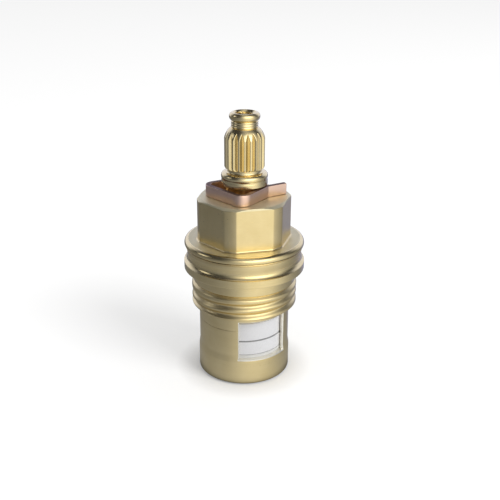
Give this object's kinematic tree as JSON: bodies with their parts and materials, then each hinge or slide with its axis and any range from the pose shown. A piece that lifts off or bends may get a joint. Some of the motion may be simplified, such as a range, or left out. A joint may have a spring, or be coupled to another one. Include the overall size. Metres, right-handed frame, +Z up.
{
  "type": "faucet stem",
  "caption": "Brass faucet stem: splined spindle, retaining clip, hexagon, seat flanges, threaded barrel and a windowed cage round ceramic discs; the spindle turns to open the valve.",
  "frame": {"origin": "centre of the lower face of the bottom seal, on the surface the stem stands on", "axes": "+Z up the spindle axis to the splined tip; the two water windows face -Y and +Y"},
  "size_m": [0.0238, 0.0238, 0.0531],
  "materials": {
    "bonnet_brass": "satin, fine turning marks",
    "spindle_brass": "satin, fine turning marks",
    "clip_bronze": "rolled phosphor bronze strip, semi-bright",
    "o_ring_rubber": "greased black nitrile",
    "washer_plastic": "natural acetal",
    "disc_ceramic": "lapped white alumina",
    "ring_plastic": "natural acetal",
    "seal_rubber": "matt black rubber"
  },
  "bodies": {
    "housing": {"bonnet": "bonnet_brass", "slip_washer": "washer_plastic", "fixed_disc": "disc_ceramic", "seal_support_ring": "ring_plastic", "bottom_seal": "seal_rubber"},
    "spindle": {"spindle": "spindle_brass", "retaining_clip": "clip_bronze", "upper_o_ring": "o_ring_rubber", "lower_o_ring": "o_ring_rubber", "moving_disc": "disc_ceramic"}
  },
  "joints": [
    {"name": "spindle_turn", "type": "hinge", "parent": "housing", "child": "spindle", "pos_m": [0, 0, 0.03], "axis": [0, 0, 1], "range_deg": [0, 90]}
  ]
}
